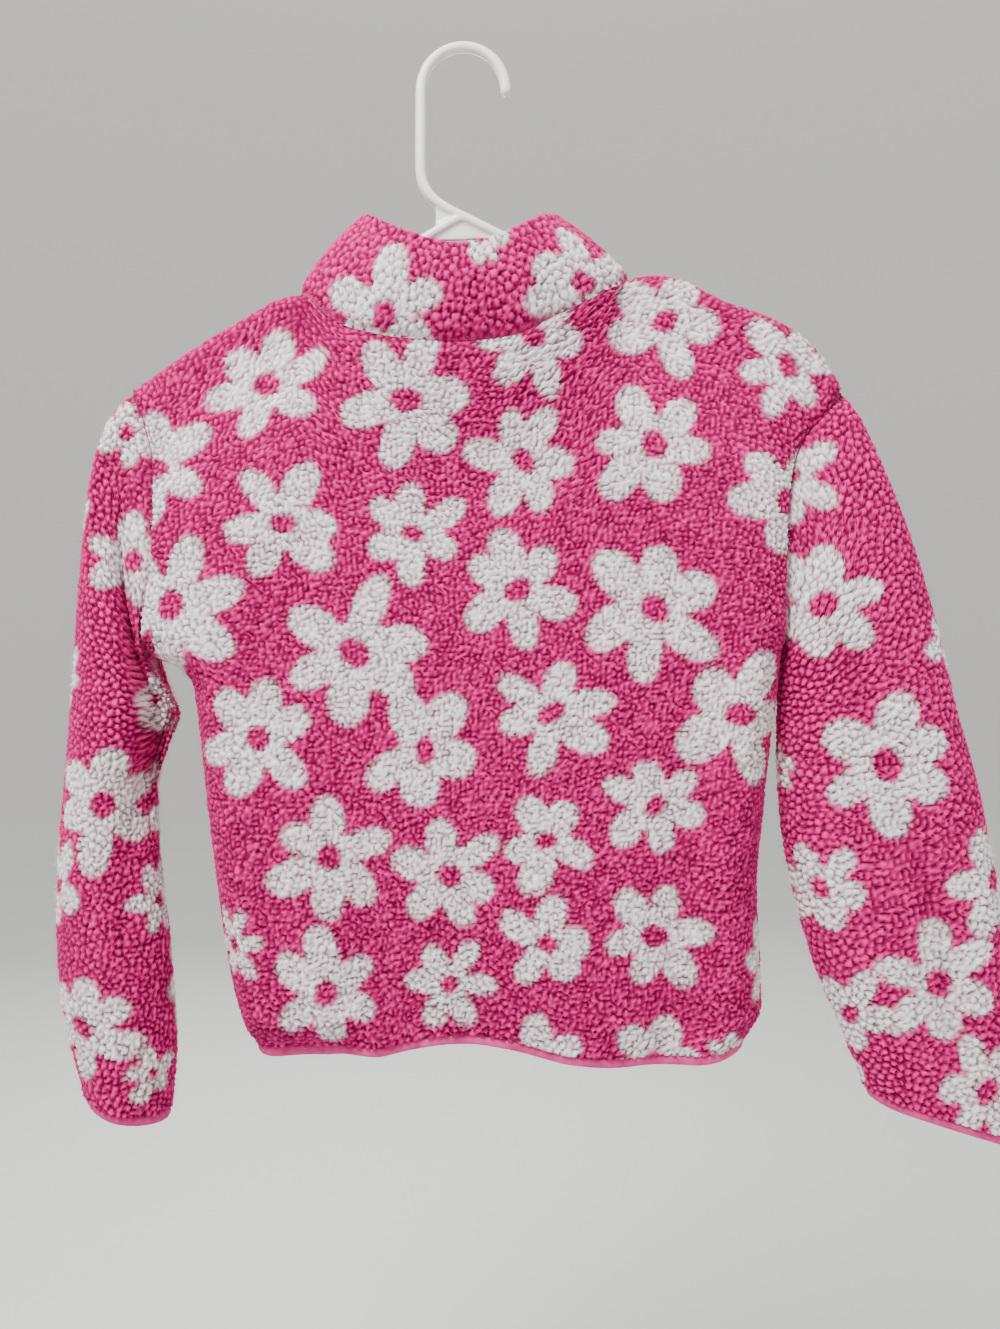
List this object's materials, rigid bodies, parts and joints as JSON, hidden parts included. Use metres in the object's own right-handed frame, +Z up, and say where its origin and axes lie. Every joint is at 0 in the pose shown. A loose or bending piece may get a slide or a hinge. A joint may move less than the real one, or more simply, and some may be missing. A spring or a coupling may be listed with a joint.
{
  "type": "sherpa jacket on a hanger",
  "caption": "Child's sherpa-fleece zip jacket with stand collar, dropped shoulders, long sleeves and bound hem and cuffs, hanging on a tubular plastic hanger.",
  "frame": {"origin": "underside of the hook's top, where a rail or a screw carries the hanger", "axes": "+Z up, +Y towards the jacket's back, +X towards the wearer's left arm"},
  "size_m": [0.6499, 0.0983, 0.7472],
  "materials": {
    "sherpa_fleece": "hot-pink curly sherpa pile printed with white daisies",
    "knit_binding": "pink folded knit binding",
    "zip_tape": "pink woven zip tape",
    "zip_teeth": "pink moulded zip teeth",
    "zip_metal": "nickel-plated die-cast zinc",
    "hanger_plastic": "white moulded polypropylene, satin gloss"
  },
  "bodies": {
    "jacket": {"back_panel": "sherpa_fleece", "front_left": "sherpa_fleece", "front_right": "sherpa_fleece", "sleeve_left": "sherpa_fleece", "sleeve_right": "sherpa_fleece", "collar": "sherpa_fleece", "hem_binding_back": "knit_binding", "hem_binding_left": "knit_binding", "hem_binding_right": "knit_binding", "cuff_binding_left": "knit_binding", "cuff_binding_right": "knit_binding", "zip_tape_left": "zip_tape", "zip_tape_right": "zip_tape", "zip_chain": "zip_teeth", "zip_slider": "zip_metal", "hanger": "hanger_plastic"},
    "pull_tab": {"zip_pull": "zip_metal"}
  },
  "joints": [
    {"name": "pull_tab_hinge", "type": "hinge", "parent": "jacket", "child": "pull_tab", "pos_m": [0.00204, -0.04775, -0.18961], "axis": [-1, 0, 0], "range_deg": [0, 160]}
  ]
}
